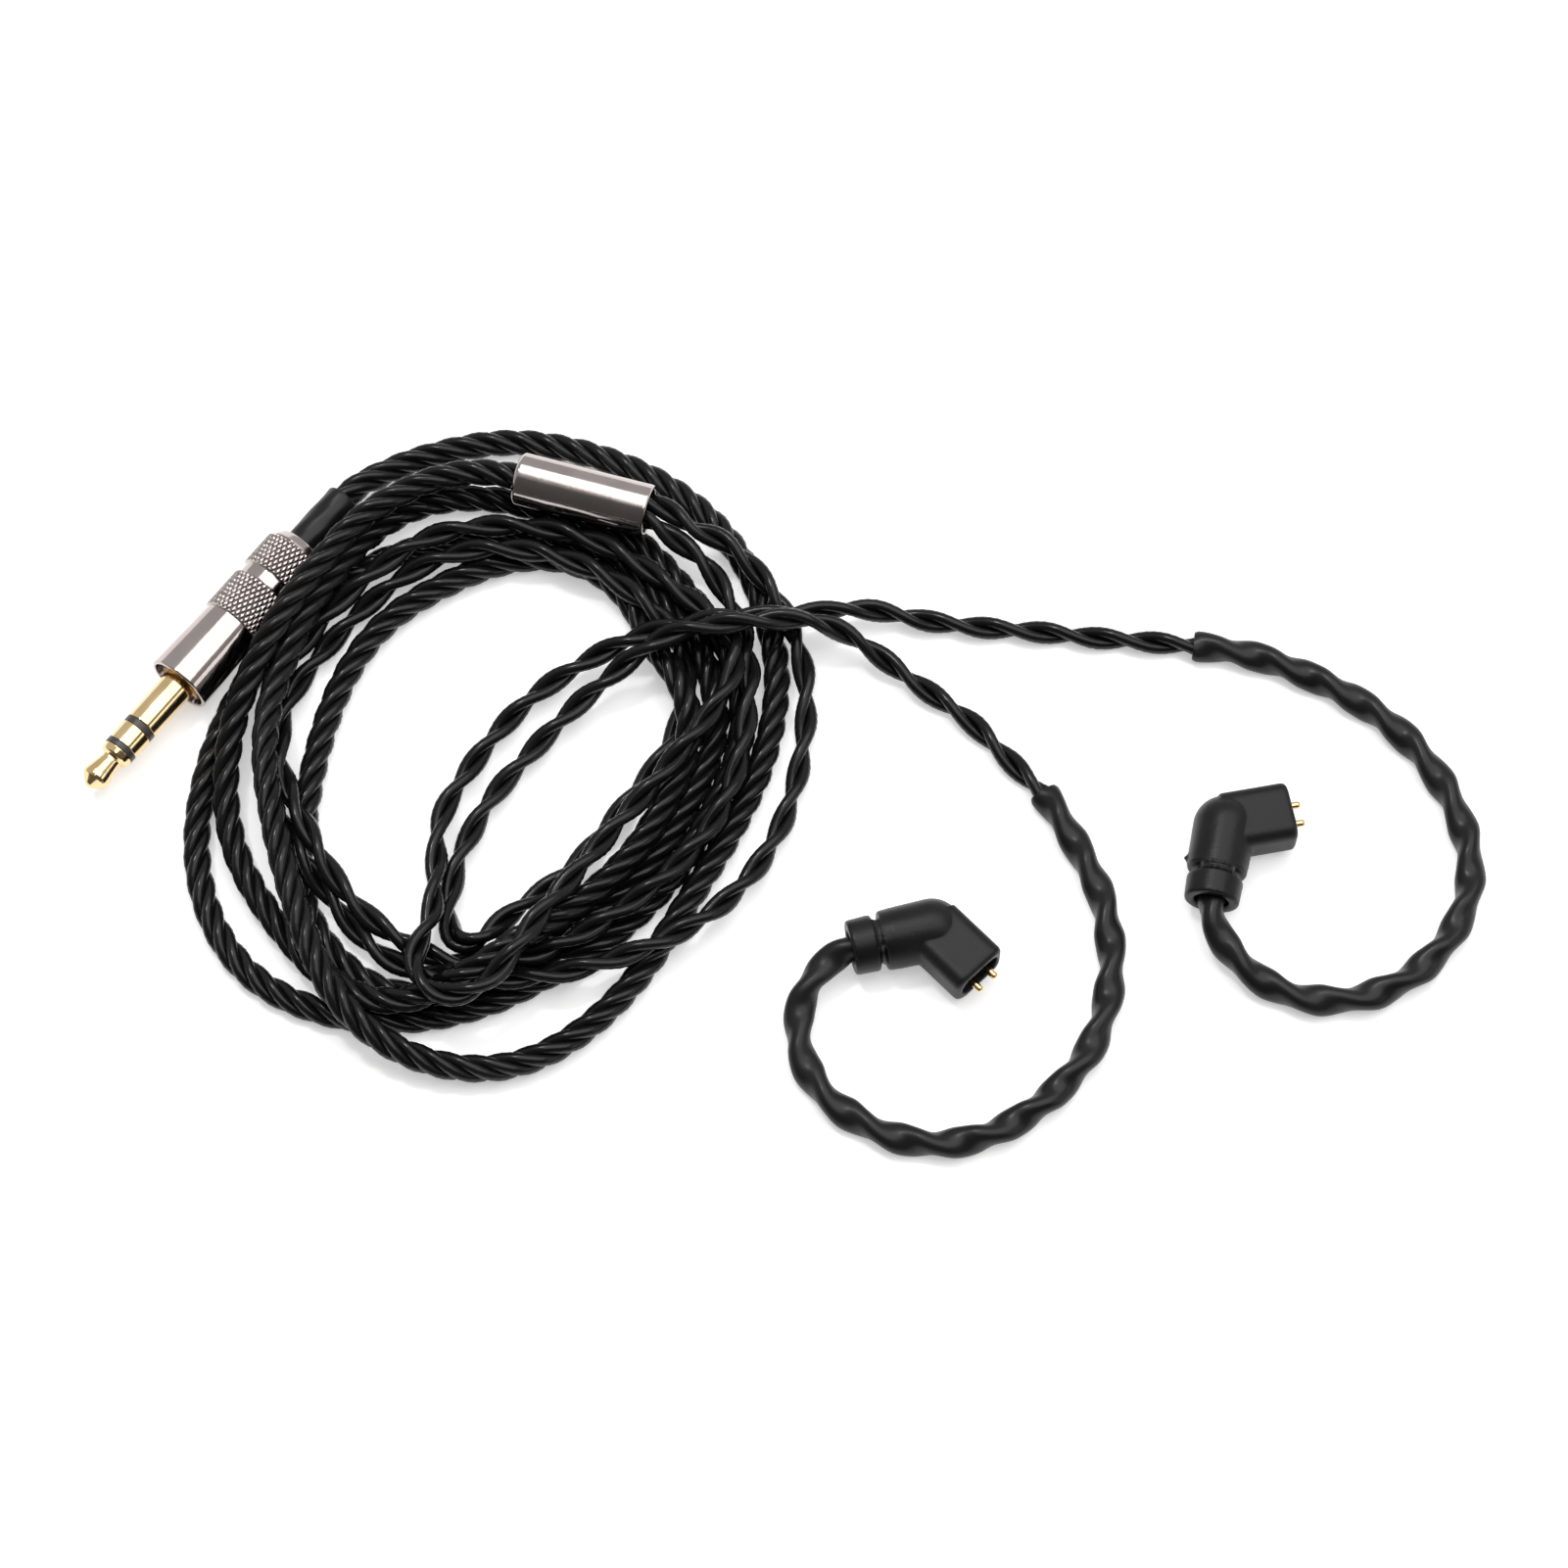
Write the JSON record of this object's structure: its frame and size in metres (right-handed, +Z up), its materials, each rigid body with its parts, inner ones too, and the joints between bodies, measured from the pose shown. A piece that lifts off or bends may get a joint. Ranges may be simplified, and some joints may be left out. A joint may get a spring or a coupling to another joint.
{
  "type": "detachable earphone cable",
  "caption": "Detachable in-ear monitor cable, loosely coiled: stereo mini plug with a knurled barrel, tubular splitter, twisted leads, preformed ear hooks and angled pin connectors.",
  "frame": {"origin": "under the middle of the cable's rigid pieces, on the surface it lies on", "axes": "+X from the plug towards the right ear hook, +Y towards the splitter, +Z up from the surface"},
  "size_m": [0.1403, 0.0799, 0.0082],
  "materials": {
    "gold": "polished gold plate",
    "gunmetal": "polished gunmetal plate",
    "nickel": "satin nickel plate",
    "insulator": "satin",
    "fibre": "matt pressed fibre",
    "heat_shrink": "satin black heat-shrink",
    "jacket": "semi-gloss black",
    "overmould": "satin black overmould"
  },
  "bodies": {
    "cable": {"plug_tip_contact": "gold", "plug_ring_contact": "gold", "plug_sleeve_contact": "gold", "plug_tip_insulator": "insulator", "plug_ring_insulator": "insulator", "plug_washer_front": "fibre", "plug_washer_rear": "fibre", "plug_tip_solder_tag": "nickel", "plug_ring_solder_tag": "nickel", "plug_ground_clamp": "nickel", "plug_strain_relief": "heat_shrink", "main_cable_plug_end": "jacket", "splitter_shell": "gunmetal", "splitter_insert": "insulator", "splitter_splice": "heat_shrink", "main_cable_splitter_end": "jacket", "left_branch_splitter_end": "jacket", "right_branch_splitter_end": "jacket", "left_connector_body": "overmould", "left_contact_carrier": "insulator", "left_signal_pin": "gold", "left_return_pin": "gold", "right_connector_body": "overmould", "right_contact_carrier": "insulator", "right_signal_pin": "gold", "right_return_pin": "gold", "left_ear_hook": "heat_shrink", "right_ear_hook": "heat_shrink", "cable_coil": "jacket", "main_cable_lead": "jacket", "left_branch_lead": "jacket", "right_branch_lead": "jacket"},
    "barrel": {"plug_barrel": "gunmetal"}
  },
  "joints": [
    {"name": "barrel_turn", "type": "hinge", "parent": "cable", "child": "barrel", "pos_m": [-0.05506, 0.02028, 0.0034], "axis": [0.6018, 0.7986, 0], "continuous": true}
  ]
}
